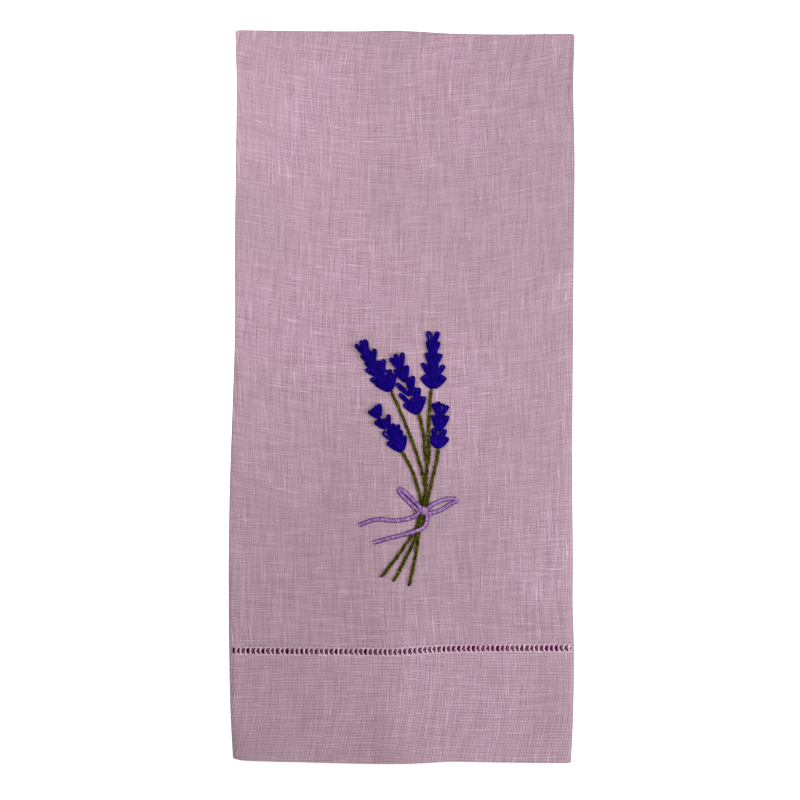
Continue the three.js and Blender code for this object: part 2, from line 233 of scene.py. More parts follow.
# %% The section from hem to hem
def section_lines():
    """One entry for each line: which zone it lies in, its share of that zone, its offset and its turn."""
    lines = [("hem", s, 0.0, 0.0) for s in (0.0, 0.006, *np.linspace(0.05, 0.94, 19))]
    lines += [("row", 0, off, 0.0) for off in (-ROW_HALF - 0.8, -ROW_HALF, ROW_HALF, ROW_HALF + 0.8)]
    lines += [("field", s, 0.0, 0.0) for s in np.linspace(0.012, 0.985, 104)]
    lines += [("top", 0, 0.0, a) for a in np.linspace(0, math.pi, 11)]
    lines += [("field", s, 0.0, math.pi) for s in np.linspace(0.97, 0.02, 26)]
    lines += [("row", 0, off, math.pi) for off in (4.0, 1.5, -1.5, -4.0)]
    lines += [("hem", s, 0.0, math.pi) for s in np.linspace(0.9, 0, 6)]
    return lines


LINES = section_lines()
ZONE = np.array([line[0] for line in LINES])
SHARE = np.array([line[1] for line in LINES])
OFFSET = np.array([line[2] for line in LINES])
TURN = np.array([line[3] for line in LINES])
OUTER = TURN == 0
PRESSED = 0.6  # 1 for a round top fold, less for one that is pressed flat
print("lines across", len(LINES))


def line_heights(x, flap, reach):
    """The y of every line at one step of the path."""
    bottom = along(ENDS, "x", "bottom", x) + FLAP_END_INSET * flap
    bottom = np.where(OUTER, bottom, bottom + INNER_LEAF_SHORTER)
    row = along(ENDS, "x", "row", x)
    top = along(ENDS, "x", "top", x) - FLAP_END_INSET * flap
    y = np.where(ZONE == "hem", bottom + (row - bottom) * SHARE, row + OFFSET)
    y = np.where(ZONE == "field", row + (top - FACE - row) * SHARE, y)
    return np.where(ZONE == "top", top - FACE + reach * np.sin(TURN) ** PRESSED, y)


# %% [markdown]
# ## The sheet
#
# The real towel is a single layer of linen half a millimetre thick. A block with a woven picture on it
# would fail from the side, where all six layers show. So the sheet is made as a grid on the walked path, and
# Solidify then gives it its thickness on the inner side. The drawn-thread row is left open on the outer
# leaf, except at the side hem and round the side folds, where one would look in between the layers.
#
# Every corner also gets its place on the flat cloth, in metres, as a UV map. The weft of this towel bows
# down in the middle of the upper part, so the map bows there too, and the weave follows. Each point carries
# one number more, for the shade where the cloth turns away at its folds: the right fold faces the lamp and
# would come out too pale without it.

# %% Make the sheet
CLOTH_WIDE, CLOTH_LONG = 533, 762  # the flat, hemmed cloth
ROW_UP = 59.5  # the drawn-thread row above the edge, on the flat cloth
WEFT_BOW = 0.0013  # how far a weft thread rises towards the sides, per square millimetre from the middle
RIGHT_FOLD_SHADE = 0.42


def weft_rise(x, y):
    return WEFT_BOW * x**2 * smooth(-120, 20, y)


def sheet_grid():
    """Points of the sheet's outer face, and their places on the flat cloth."""
    points, flat, edge = [], [], []
    nominal = line_heights(0.0, 0.0, FACE)
    across = np.zeros(len(LINES))
    for n, (name, t) in enumerate(PATH):
        x, z, nx, nz, flap = fold_point(name, t, nominal)
        y = line_heights(x, flap, FACE)
        x, z, nx, nz, flap = fold_point(name, t, y)
        proud = HEM_RISE * (ZONE == "hem") * OUTER * (1 - flap) * np.maximum(nz, 0)
        reach = FACE * np.sign(np.cos(TURN)) * np.abs(np.cos(TURN)) ** PRESSED + proud
        point = np.stack([x + reach * nx, y, z + reach * nz], 1)
        if n:
            across = across + np.hypot(x - last_x, z - last_z)
        last_x, last_z = x, z
        points.append(point)
        # Painted shade for the folds: where the cloth turns steeply, and on the right fold, which faces the
        # lamp.
        steep = smooth(0.8, 0.35, np.abs(nz) * np.abs(np.cos(TURN)))
        edge.append(np.maximum(steep, RIGHT_FOLD_SHADE * smooth(0.04, 0.5, nx)))
        up = ROW_UP + y - along(ENDS, "x", "row", x)
        up = np.where(TURN > math.pi / 2, CLOTH_LONG - up, up)
        flat.append(np.stack([across, up - weft_rise(x, y)], 1))
    return np.array(points), np.array(flat), np.array(edge)


def new_mesh(name, points, faces, uv, uv_map, extra, number):
    """A mesh object at the origin from points in millimetres.

    Each point also brings its place on a UV map and one number, which are both given their names here.
    """
    mesh = bpy.data.meshes.new(name)
    mesh.from_pydata((points * MM).tolist(), [], faces)
    corners = np.empty(len(mesh.loops), dtype=np.int32)
    mesh.loops.foreach_get("vertex_index", corners)
    mesh.uv_layers.new(name=uv_map).data.foreach_set("uv", (uv * MM)[corners].ravel())
    mesh.attributes.new(number, "FLOAT", "POINT").data.foreach_set("value", extra)
    piece = bpy.data.objects.new(name, mesh)
    bpy.context.scene.collection.objects.link(piece)
    return piece


def row_is_open(name, t):
    """The drawn-thread row is open on the back and the front, but not at a side hem or round a side fold."""
    opens_at = {"back": 0.04, "right fold": 0.8, "panel": 0.0, "left fold": 2.0, "middle": 2.0}
    return t >= opens_at[name]


def make_towel():
    points, flat, edge = sheet_grid()
    steps, count = points.shape[:2]
    s, k = np.meshgrid(np.arange(steps - 1), np.arange(count - 1), indexing="ij")
    low_row = np.flatnonzero((ZONE == "row") & OUTER)[1]
    open_steps = np.array([row_is_open(name, t) for name, t in PATH])
    is_open = (k == low_row) & open_steps[s]
    s, k = s[~is_open], k[~is_open]
    at = s * count + k
    faces = np.stack([at, at + 1, at + 1 + count, at + count], 1)
    points, flat, edge = points.reshape(-1, 3), flat.reshape(-1, 2), edge.ravel()
    return new_mesh("towel", points, faces.tolist(), flat, "cloth", edge, "painted_fold_shade")


def only(piece):
    """Select one piece alone and make it active, as a click on it would."""
    bpy.ops.object.select_all(action="DESELECT")
    piece.select_set(True)
    bpy.context.view_layer.objects.active = piece


def apply_all(piece):
    only(piece)
    for modifier in list(piece.modifiers):
        bpy.ops.object.modifier_apply(modifier=modifier.name)


towel = make_towel()
thick = towel.modifiers.new("linen", "SOLIDIFY")
thick.thickness = LINEN * MM
thick.offset = -1
thick.use_even_offset = False
apply_all(towel)
bpy.ops.object.shade_smooth()
print("sheet", len(towel.data.polygons), "faces")

# %% [markdown]
# ## Maths in materials
#
# Procedural cloth is a sum and product of a few patterns. Wiring every Math node by hand hides the formula,
# so a small class wraps a socket and lets Python's own operators add the nodes. One function adds any other
# node from its type, its settings and its inputs.

# %% A socket that can be counted with
class Flow:
    """A value that flows through a material's nodes."""

    def __init__(self, tree, socket):
        self.tree, self.socket = tree, socket

    def math(self, operation, *others, clamp=False):
        values = dict(enumerate((self, *others)))
        made = add(self.tree, "ShaderNodeMath", {"operation": operation, "use_clamp": clamp}, values)
        return Flow(self.tree, made.outputs[0])

    def __add__(self, other):
        return self.math("ADD", other)

    def __sub__(self, other):
        return self.math("SUBTRACT", other)

    def __rsub__(self, other):
        return self.math("MULTIPLY", -1).math("ADD", other)

    def __mul__(self, other):
        return self.math("MULTIPLY", other)

    def __truediv__(self, other):
        return self.math("DIVIDE", other)

    __radd__, __rmul__ = __add__, __mul__

    def step(self, low, high):
        """0 below low and 1 above high, smoothly between."""
        values = {0: self, 1: low, 2: high}
        made = add(self.tree, "ShaderNodeMapRange", {"interpolation_type": "SMOOTHSTEP"}, values)
        return Flow(self.tree, made.outputs[0])


def add(tree, kind, settings=None, values=None):
    """Add one node: its settings first, then its sockets, by number or name, as values or links."""
    made = tree.nodes.new(kind)
    for name, value in (settings or {}).items():
        setattr(made, name, value)
    for key, value in (values or {}).items():
        if isinstance(value, Flow):
            tree.links.new(value.socket, made.inputs[key])
        else:
            made.inputs[key].default_value = value
    return made


def new_material(name, **sockets):
    """A material with its shader's own sockets set, and its node tree."""
    material = bpy.data.materials.new(name)
    material.use_nodes = True
    shader = material.node_tree.nodes["Principled BSDF"]
    for key, value in sockets.items():
        shader.inputs[key.replace("_", " ")].default_value = value
    return material, material.node_tree, shader


def place_on(tree, uv_map):
    """The two coordinates of a UV map, in millimetres."""
    uv = add(tree, "ShaderNodeUVMap", {"uv_map": uv_map})
    apart = add(tree, "ShaderNodeSeparateXYZ", {}, {0: Flow(tree, uv.outputs[0])})
    return Flow(tree, apart.outputs[0]) * 1000, Flow(tree, apart.outputs[1]) * 1000


def noise(tree, x, y, seed, detail=2.0):
    """Soft noise, about 0 to 1, on two coordinates."""
    spot = add(tree, "ShaderNodeCombineXYZ", {}, {0: x, 1: y, 2: float(seed)})
    values = {"Vector": Flow(tree, spot.outputs[0]), "Scale": 1.0, "Detail": detail}
    made = add(tree, "ShaderNodeTexNoise", {}, values)
    return Flow(tree, made.outputs["Fac"])


def mix(tree, share, first, second):
    """A colour between two colours."""
    made = add(tree, "ShaderNodeMix", {"data_type": "RGBA"}, {0: share, 6: first, 7: second})
    return Flow(tree, made.outputs[2])


def read(tree, attribute):
    """A number that the mesh itself carries at each point."""
    made = add(tree, "ShaderNodeAttribute", {"attribute_name": attribute})
    return Flow(tree, made.outputs["Fac"])


def bump(tree, height, distance):
    made = add(tree, "ShaderNodeBump", {}, {"Height": height, "Distance": distance})
    return Flow(tree, made.outputs[0])


def colour(red, green, blue):
    """A colour as read from a screen, 0 to 255, in linear light."""
    parts = (red, green, blue)
    return [((c / 255 + 0.055) / 1.055) ** 2.4 if c > 10 else c / 3294.6 for c in parts] + [1.0]


print("material helpers ready")

# %% [markdown]
# ## Linen
#
# Linen yarn is spun from flax, so it is never even: each thread has its own tone, and thick pale slubs run
# along it for a few centimetres. The cloth here is a plain weave with a mauve warp and a paler weft. The
# weave could be a picture of threads, but it would repeat. Instead each direction gets its own long thin
# noise, and the over and under of the weave comes from two sines that take turns.

# %% The linen material
THREAD = 0.78  # from one thread to the next
HEM_ENDS = (57, 59)  # the hem's closer weave gives way to the open weave between these heights
ROW_BEHIND = CLOTH_LONG - ROW_UP  # the place on the inner leaf that lies behind the drawn-thread row


def weave(tree, u, v):
    """Height of a plain weave, 0 between the threads and 1 on the crown of a thread."""
    a = (u + 0.35 * noise(tree, u * 0.05, v * 0.3, 3)) / THREAD
    b = (v + 0.35 * noise(tree, u * 0.3, v * 0.05, 5)) / THREAD
    crown_a = (a * math.pi).math("SINE").math("ABSOLUTE")
    crown_b = (b * math.pi).math("SINE").math("ABSOLUTE")
    turn = (a.math("FLOOR") * math.pi).math("COSINE") * (b.math("FLOOR") * math.pi).math("COSINE")
    over = turn * 0.5 + 0.5
    return crown_a * (0.55 + 0.45 * over * crown_b) * over + crown_b * (0.55 + 0.45 * crown_a) * (1 - over)


def make_linen():
    material, tree, shader = new_material("linen", Roughness=0.9, Specular_IOR_Level=0.06)
    u, v = place_on(tree, "cloth")
    warp = noise(tree, u * 1.7, v * 0.05 + u * 1.3, 11, 1)
    weft = noise(tree, u * 0.06 - v * 1.3, v * 1.7, 17, 1)
    warp_slub = noise(tree, u * 1.5, v * 0.07 - u * 1.1, 23, 0).step(0.68, 0.77)
    weft_slub = noise(tree, u * 0.07 + v * 1.1, v * 1.5, 29, 0).step(0.68, 0.77)
    grain = noise(tree, u * 2.1, v * 2.1, 31, 1)
    patch = noise(tree, u * 0.012, v * 0.012, 37, 2)
    height = weave(tree, u, v)
    hem = 1 - v.step(*HEM_ENDS)
    tone = 0.46 + 1.0 * (warp - 0.5) + 0.75 * (weft - 0.5) + 1.0 * (grain - 0.5)
    tone = tone + (0.35 + 0.7 * hem) * (height - 0.5) + 0.5 * warp_slub + 0.5 * weft_slub
    base = mix(tree, tone.math("ADD", 0, clamp=True), colour(118, 88, 102), colour(192, 164, 178))
    base = mix(tree, patch.step(0.35, 0.65) * 0.3, base, colour(142, 120, 126))
    # Painted shade at the folds and edges, where the cloth turns away from the light.
    base = mix(tree, read(tree, "painted_fold_shade") * 0.9, base, colour(92, 80, 84))
    # Painted shade: a dark wine band on the inner leaf behind the drawn-thread row, for the shadow between
    # the layers that shows through its holes.
    behind = (v - ROW_BEHIND).math("ABSOLUTE")
    base = mix(tree, 1 - behind.step(2.6, 4.6), base, colour(112, 30, 82))
    tree.links.new(base.socket, shader.inputs["Base Color"])
    relief = height + 0.8 * warp_slub + 0.8 * weft_slub + 0.5 * warp + 0.5 * weft
    tree.links.new(bump(tree, relief, 0.00016).socket, shader.inputs["Normal"])
    return material


towel.data.materials.append(make_linen())
print("linen on", towel.name)

# %% [markdown]
# ## Thread
#
# Embroidery floss is six loosely twisted strands of cotton, with dark grooves between them. The map of a
# stitch runs round the thread one way and along it the other, so thin streaks along the stitch look like
# strands. The streaks are partly the strands' own tone, and partly painted shade in the grooves and painted
# highlight along the strands. Where a stitch dives into the cloth it is in its own shadow, so each point
# also says how deep it lies, and the colour there goes towards a fourth, deep one: a painted shadow.

# %% Thread materials
def make_thread(name, deep, dark, middle, light):
    """A stranded thread. Its stitches carry their own map, u round and v along, and a painted shadow where
    they dive.
    """
    material, tree, shader = new_material(name, Roughness=0.8, Specular_IOR_Level=0.03)
    u, v = place_on(tree, "thread")
    strands_and_highlight = noise(tree, u * 2.6 + v * 0.5, v * 0.12, 41, 2)
    patches = noise(tree, u * 0.2, v * 0.35, 43, 2)
    # The streaks mix the strands' own tone with painted groove shade and painted highlight; the deep colour
    # is a painted shadow where the stitch dives.
    base = mix(tree, strands_and_highlight.step(0.35, 0.6), dark, middle)
    base = mix(tree, (strands_and_highlight * 0.6 + patches * 0.4).step(0.52, 0.7), base, light)
    base = mix(tree, read(tree, "deep"), base, deep)
    tree.links.new(base.socket, shader.inputs["Base Color"])
    tree.links.new(bump(tree, strands_and_highlight, 0.00012).socket, shader.inputs["Normal"])
    return material


VIOLET = make_thread(
    "violet_thread", colour(2, 0, 62), colour(3, 0, 72), colour(17, 0, 106), colour(44, 4, 132)
)
OLIVE = make_thread(
    "olive_thread", colour(16, 17, 0), colour(38, 38, 0), colour(62, 62, 0), colour(98, 95, 28)
)
LILAC = make_thread(
    "lilac_thread", colour(54, 18, 80), colour(104, 70, 122), colour(150, 113, 160), colour(192, 162, 204)
)
LINEN_THREAD = make_thread(
    "linen_thread", colour(84, 30, 62), colour(166, 136, 150), colour(198, 170, 183), colour(226, 204, 214)
)
print("threads", len(bpy.data.materials))

# %% [markdown]
# ## One stitch, many times
#
# All the embroidery is the same few stitches over and over. Each kind is modelled once, from a primitive
# that is pulled into shape, and then copied by numbers into one mesh for each piece. Modelling each stitch
# by itself would take days and look no better.
#
# A straight stitch is a plump thread that dives into the cloth at both ends. A sphere makes a good one: its
# poles become the ends, its back is arched, and it is pulled long as it is laid. The finest stitches need
# fewer faces still, and lie deep all over, which paints them in shadow. A lazy-daisy petal is a loop that is
# narrow at its root, so it starts as a Bezier circle with a round bevel, whose four points are pulled into
# the shape of a leaf.

# %% Model the stitches
def take_shape(piece):
    """Points, faces and thread map of a modelled primitive, which is then removed.

    Blender may list a sphere's points and faces in another order each time, so both are sorted here.
    """
    mesh = piece.data
    points = np.array([v.co for v in mesh.vertices])
    order = np.lexsort(np.round(points, 4).T)
    place = np.argsort(order)
    uv = np.ones((len(points), 2))
    for loop, spot in zip(mesh.loops, mesh.uv_layers[0].data):
        at = place[loop.vertex_index]
        uv[at] = np.minimum(uv[at], spot.uv)
    faces = []
    for polygon in mesh.polygons:
        face = [int(place[i]) for i in polygon.vertices]
        start = face.index(min(face))
        faces.append(face[start:] + face[:start])
    bpy.data.objects.remove(piece)
    return {"points": points[order], "faces": sorted(faces), "uv": uv}


def model_straight(sides, rings):
    """A stitch of length 1 along Y and thickness 1, which dives into the cloth at both ends."""
    bpy.ops.object.select_all(action="DESELECT")
    lying = (math.pi / 2, 0, 0)
    bpy.ops.mesh.primitive_uv_sphere_add(segments=sides, ring_count=rings, radius=0.5, rotation=lying)
    stitch = bpy.context.object
    bpy.ops.object.transform_apply(rotation=True)
    for v in stitch.data.vertices:
        v.co.z = v.co.z * (1 - 1.2 * v.co.y**2) + 0.28 - 1.3 * v.co.y**2
    return take_shape(stitch)


LOOP_SIZE = 8.0  # length of the petal loop as modelled
LOOP_WIDE = 2.6
LOOP_THREAD = 0.52  # radius of its thread


def model_loop():
    """A petal loop along Y from its root at the origin, in millimetres."""
    bpy.ops.object.select_all(action="DESELECT")
    bpy.ops.curve.primitive_bezier_circle_add(radius=1)
    loop = bpy.context.object
    side = LOOP_WIDE / 2 - LOOP_THREAD
    spots = [(0, 0), (side, 0.62), (0, 1), (-side, 0.62)]
    pulls = [(0.2, 0), (0, 0.3), (-0.75, 0), (0, -0.3)]
    reach = LOOP_SIZE - 2 * LOOP_THREAD
    for point, (x, y), (pull_x, pull_y) in zip(loop.data.splines[0].bezier_points, spots, pulls):
        point.handle_left_type = point.handle_right_type = "FREE"
        y = LOOP_THREAD + y * reach
        point.co = (x, y, 0)
        point.handle_left = (x - pull_x, y - pull_y * reach, 0)
        point.handle_right = (x + pull_x, y + pull_y * reach, 0)
    loop.data.resolution_u = 6
    loop.data.bevel_resolution = 1
    loop.data.bevel_depth = LOOP_THREAD
    bpy.ops.object.convert(target="MESH")
    mesh = loop.data
    points = np.array([v.co for v in mesh.vertices])
    faces = [list(p.vertices) for p in mesh.polygons]
    rings = 4 * 6
    sides = len(points) // rings
    ring, side = np.divmod(np.arange(len(points)), sides)
    uv = np.stack([side / sides, 2 * LOOP_SIZE * np.abs(ring / rings - 0.5)], 1)
    bpy.data.objects.remove(loop)
    return {"points": points, "faces": faces, "uv": uv}


STRAIGHT = model_straight(6, 9)
# The deep masks mark where each stitch gets painted shadow: a straight stitch's ends, a fine one all over,
# the root of a loop.
STRAIGHT["deep"] = smooth(0.2, 0.36, np.abs(STRAIGHT["points"][:, 1]))  # 1 at its ends
FINE = model_straight(6, 5)
FINE["deep"] = np.ones(len(FINE["points"]))
LOOP = model_loop()
LOOP["deep"] = smooth(0.14, 0.0, LOOP["points"][:, 1] / LOOP_SIZE)  # 1 at its root
print("straight", len(STRAIGHT["faces"]), "faces, loop", len(LOOP["faces"]), "faces")

# %% [markdown]
# ## Laying stitches on the cloth
#
# A piece of embroidery is a list of stitches: which shape, where its middle or root lies, which way it
# points, how large it is and how deep it dives, which sets its painted shadow. The list becomes one mesh.
# Every point is lifted by the height of the cloth under it, so the stitches follow the ridge and the
# creases.

# %% Lay stitches
class Stitches:
    """A growing list of stitches that becomes one mesh."""

    def __init__(self):
        self.points, self.faces, self.uv, self.deep, self.count = [], [], [], [], 0

    def lay(self, shape, x, y, turn, size, lift=0.0, deep=0.0):
        """Copy a shape: turn is in degrees from +Y towards +X, and size its scale on its own X, Y and Z."""
        local = shape["points"] * size
        a = math.radians(turn)
        px = x + local[:, 0] * math.cos(a) + local[:, 1] * math.sin(a)
        py = y + local[:, 1] * math.cos(a) - local[:, 0] * math.sin(a)
        rise = lift(px, py) if callable(lift) else lift
        self.add(np.stack([px, py, face_height(px, py) + local[:, 2] + rise], 1), shape, size, deep)

    def add(self, points, shape, size, deep=0.0):
        start = sum(len(p) for p in self.points)
        self.points.append(points)
        self.faces += [[start + i for i in face] for face in shape["faces"]]
        shift = chance.uniform(0, 40, 2)
        self.uv.append(shape["uv"] * [1, size[1]] + shift)
        self.deep.append(shape["deep"] * deep)
        self.count += 1

    def mesh(self, name, material):
        points, uv, deep = (np.concatenate(rows) for rows in (self.points, self.uv, self.deep))
        piece = new_mesh(name, points, self.faces, uv, "thread", deep, "deep")
        mesh = piece.data
        mesh.materials.append(material)
        only(piece)
        bpy.ops.object.shade_smooth()
        print(name, self.count, "stitches,", len(mesh.polygons), "faces")
        return piece


def route_line(route, step, inset=0.0):
    """Places and directions at about even steps along a smooth line through a route of points."""
    spots = np.array(route, float)
    far = np.concatenate([[0], np.cumsum(np.hypot(*np.diff(spots, axis=0).T))])
    table = {"s": far, "x": spots[:, 0], "y": spots[:, 1]}
    s = np.linspace(inset, far[-1] - inset, max(int(round(far[-1] / step)), 1) + 1)
    x = along(table, "s", "x", s)
    y = along(table, "s", "y", s)
    dx = along(table, "s", "x", s + 0.2) - along(table, "s", "x", s - 0.2)
    dy = along(table, "s", "y", s + 0.2) - along(table, "s", "y", s - 0.2)
    return x, y, np.degrees(np.arctan2(dx, dy))


# %% [markdown]
# ## Lavender heads
#
# Each flower head is a few whorls of petals up a short line. A petal is a lazy-daisy loop: plump, held at
# its tip, and mostly with a thread down its middle, though now and then one is left open. The lowest whorl
# is the fullest, and no two are quite alike, as in any hand-stitched sprig. A rule alone gave five equal
# heads, which looked printed. So every whorl has one or two rows here: how far up the head it sits, how long
# its petals are, and which ways they point.

# %% Stitch the heads
HEADS = [
    {"x": -6.0, "y": 3.1, "lean": -34, "whorls": [
        (0, 8.8, [-60, 12, -45, 2, -30, -14]),
        (3.5, 8.6, [-61, 9, -44, -8, -28]),
        (8.5, 9.0, [-57, 4, -40, -10, -26]),
        (12, 8.4, [-49, -20, -34]),
        (16.5, 8.1, [-45, 4, -18, -32]),
        (21.4, 9.8, [-43, -10, -26]),
    ]},
    {"x": 8.2, "y": -8.8, "lean": -21, "whorls": [
        (0, 9.2, [-52, 18, -36, 8, -18, -5]),
        (4.5, 9.6, [-47, 10, -2]),
        (10, 10.2, [-46, 3, -5, -12]),
        (17.8, 8.6, [-41, 4, -24, -9]),
        (25, 8.4, [-41, 1, -20]),
    ]},
    {"x": 16.1, "y": 4.3, "lean": -1, "whorls": [
        (0, 8.2, [-41, 42, -27, 30, -10, 10]),
        (5, 9.7, [-29, 34, -13, 10, 0]),
        (11, 8.7, [-22, 25, -8, 14, 2]),
        (17, 8.8, [-17, 22, -4]),
        (22.8, 7.4, [-14, 19]),
    ]},
    {"x": 0.0, "y": -28.3, "lean": -33, "whorls": [
        (0, 8.8, [-57, 6, -44, -6, -20, -32]),
        (3, 8.6, [-42, 2, -28, -8]),
        (6.5, 8.2, [-49, 8, -26]),
        (6.5, 9.2, [-11, -18]),
        (14.4, 7.2, [-56, 0, -38]),
        (14.4, 5.2, [-20, -30]),
        (21.2, 6.7, [-53, -8, -32, -43, -20]),
    ]},
    {"x": 18.6, "y": -26.6, "lean": 3, "whorls": [
        (0, 7.2, [-34, 40, -20, 28, 2, 14]),
        (2.5, 8.6, [-15, 26, 2]),
        (9, 9.3, [-15, 27, -4, 8, 17]),
        (17, 6.7, [-24, 32, -10, 14]),
        (17, 8.1, [-2]),
    ]},
]


def petal(work, x, y, turn, length, lift):
    """One lazy-daisy petal, most of them with a thread down the middle."""
    filled = chance.random() < 0.84
    wide = chance.uniform(0.98, 1.15) if filled else 1.2
    # The loop's root and the middle thread's ends get painted shadow.
    work.lay(LOOP, x, y, turn, (wide, length / LOOP_SIZE, 0.85), lift, 0.5)
    a = math.radians(turn)
    if filled:
        middle = 0.47 * length
        size = (1.1, length * 0.7, 0.8)
        work.lay(STRAIGHT, x + middle * math.sin(a), y + middle * math.cos(a), turn, size, lift, 0.8)


def stitch_head(head):
    work = Stitches()
    a = math.radians(head["lean"])
    for up, long, turns in head["whorls"]:
        for n, turn in enumerate(turns):
            side = 1.5 * math.sin(math.radians(turn) - a) + chance.uniform(-0.3, 0.3)
            x = head["x"] + math.sin(a) * (up + 0.3 * abs(side)) + math.cos(a) * side
            y = head["y"] + math.cos(a) * (up + 0.3 * abs(side)) - math.sin(a) * side
            lift = 0.2 + 0.07 * n + 0.02 * up
            petal(work, x, y, turn + chance.uniform(-2, 2), long * chance.uniform(0.93, 1.04), lift)
    return work


heads = [stitch_head(head).mesh(f"lavender_{n}", VIOLET) for n, head in enumerate(HEADS, 1)]

# %% [markdown]
# ## Stems
#
# The stems are worked in stem stitch: each stitch leans a little across the line and starts half-way back
# along the one before, which makes a fine rope. The routes are the same as the solid's.

# %% Stitch the stems
STEM_ROUTES = [
    [(-5.7, 3.4), (0.8, -11), (5.8, -24), (9.8, -36), (12.0, -46)],
    [(8.6, -8.4), (10.9, -17), (12.0, -28), (13.0, -36), (12.3, -46), (11.2, -58)],
    [(15.2, 4.4), (14.3, -7), (13.8, -17), (14.1, -28), (13.6, -36)],
    [(0, -28), (5, -37.4), (8.1, -46.2), (10.4, -56)],
    [(18.8, -26.3), (18.3, -32), (16.1, -41.3), (14.2, -50), (12, -57.5)],
    [(10.4, -57), (7.6, -67), (-0.3, -79.6), (-10.6, -93)],
    [(11.6, -59), (9.6, -67), (3.5, -80.4), (-4.2, -95.4)],
    [(11.0, -59), (9.0, -69), (7.3, -81), (3.7, -97.6)],
]
STEM_PITCH = 2.1
STEM_SLANT = 15
STEM_THICK = 1.68

stem_work = Stitches()
for route in STEM_ROUTES:
    for x, y, turn in zip(*route_line(route, STEM_PITCH, 1.4)):
        slant = turn + STEM_SLANT + chance.uniform(-5, 5)
        size = (STEM_THICK, chance.uniform(3.6, 4.4), 0.9)
        # The deep value paints shadow on each stitch's ends, where it dives into the cloth.
        lift, deep = chance.uniform(0, 0.25), chance.uniform(0.5, 1.8)
        stem_work.lay(STRAIGHT, x + chance.uniform(-0.15, 0.15), y, slant, size, lift, deep)
stems = stem_work.mesh("stem_stitches", OLIVE)

# %% [markdown]
# ## The bow
#
# The bow is a narrow satin-stitched ribbon: short stitches lie side by side across it, so its edges are a
# row of needle holes. Every other stitch is made a little wider here and dives deeper, and the painted shade
# at its ends stands for those holes. The ribbon passes over the stems, so it is raised where it comes near
# them. The knot is a few upright stitches, the longest in the middle.

# %% Stitch the bow
BOW_ROUTES = [
    [(9.9, -57.4), (7.3, -54.9), (4.0, -51.4), (0.6, -48.4), (-1.3, -47.6), (-1.6, -48.6), (0.4, -51.1),
     (3.2, -54.0), (6.0, -56.7), (9.2, -59.2)],
    [(13.2, -57.6), (16.8, -55.1), (20.5, -53.5), (24.3, -52.7), (28.0, -52.9), (28.3, -53.8), (25.5, -55.2),
     (21.9, -57.5), (18.7, -59.1), (14.0, -60.2)],
    [(8.9, -59.7), (5.7, -62.0), (2.4, -63.1), (-4.6, -63.9), (-11.1, -63.2), (-16.2, -64.0),
     (-22.0, -66.2)],
    [(12.9, -60.6), (12.9, -64.6), (11.2, -67.2), (7.5, -69.2), (0.1, -71.3), (-6.9, -73.1),
     (-14.3, -75.2)],
]
KNOT = (11.2, -58.9)
KNOT_WIDE, KNOT_TALL = 3.6, 4.7
BAND_WIDE = 2.35
SATIN_PITCH = 0.46
BRIDGE_RISE = 0.85
STEM_SPOTS = np.concatenate([np.stack(route_line(route, 0.8)[:2], 1) for route in STEM_ROUTES])


def bridge(x, y):
    """How far the bow is raised by the stems under it."""
    x, y = np.atleast_1d(x), np.atleast_1d(y)
    away = np.hypot(x[:, None] - STEM_SPOTS[:, 0], y[:, None] - STEM_SPOTS[:, 1]).min(1)
    return BRIDGE_RISE * (1 - smooth(1.6, 4.0, away))


bow_work = Stitches()
for route in BOW_ROUTES:
    for n, (x, y, turn) in enumerate(zip(*route_line(route, SATIN_PITCH))):
        slant = turn + 80 + chance.uniform(-6, 6)
        # On every other stitch the deep value paints shade on the ends, for the needle holes.
        on_hole = n % 2 == 0
        wide = BAND_WIDE * (chance.uniform(1.08, 1.26) if on_hole else chance.uniform(0.9, 1.0))
        size = (0.95 if on_hole else 0.7, wide, 0.7)
        bow_work.lay(STRAIGHT, x, y, slant, size, bridge, chance.uniform(1.1, 2.2) if on_hole else 0.4)
for x in np.arange(-KNOT_WIDE / 2, KNOT_WIDE / 2 + 0.1, 0.5):
    tall = KNOT_TALL * (1 - 0.35 * (2 * x / KNOT_WIDE) ** 2)
    size = (0.8, tall, 1.5)
    bow_work.lay(STRAIGHT, KNOT[0] + x, KNOT[1], chance.uniform(-4, 4), size, 1.3, 0.0)
bow_piece = bow_work.mesh("bow_stitches", LILAC)

# %% [markdown]
# ## The drawn-thread row
#
# For a hemstitched hem, a few weft threads are drawn out, which leaves a ladder of bare warp threads. The
# hem's stitches then pull these together into little sheaves, a few threads each. The open row is already
# in the sheet, so only threads are made here, all along it: the sheaves, which bend to one side; here and
# there a stray thread between two of them; the stitches that bind them above and below; and the small
# needle dips beyond those. A last line of dips runs up the side hem. Even spacing alone looked like a zip,
# so every bend and dip is given a little chance.

# %% Bind the drawn-thread row
SHEAF_PITCH = 2.55
YARN = 0.41
STRAY_YARN = 0.24
ROW_Y = -131.5  # about where the row runs
OPEN_ENOUGH = 0.7  # no sheaf stands where the row is closed
SIDE_HEM_X = 86.8
SIDE_HEM_DIPS = np.arange(144, 163, 1.6)


def row_path():
    """The outer face along the row: distance on the cloth, and x, z, outward direction, y and openness."""
    rows = []
    for name, t in PATH:
        if name != "middle":
            x = fold_point(name, t, np.array(ROW_Y))[0]
            y = along(ENDS, "x", "row", x)
            x, z, nx, nz, flap = fold_point(name, t, y)
            rows.append([float(v) for v in (x, z, nx, nz, y, row_is_open(name, t))])
    rows = np.array(rows)
    far = np.concatenate([[0], np.cumsum(np.hypot(np.diff(rows[:, 0]), np.diff(rows[:, 1])))])
    return far, rows


ROW_FAR, ROW_SPOTS = row_path()


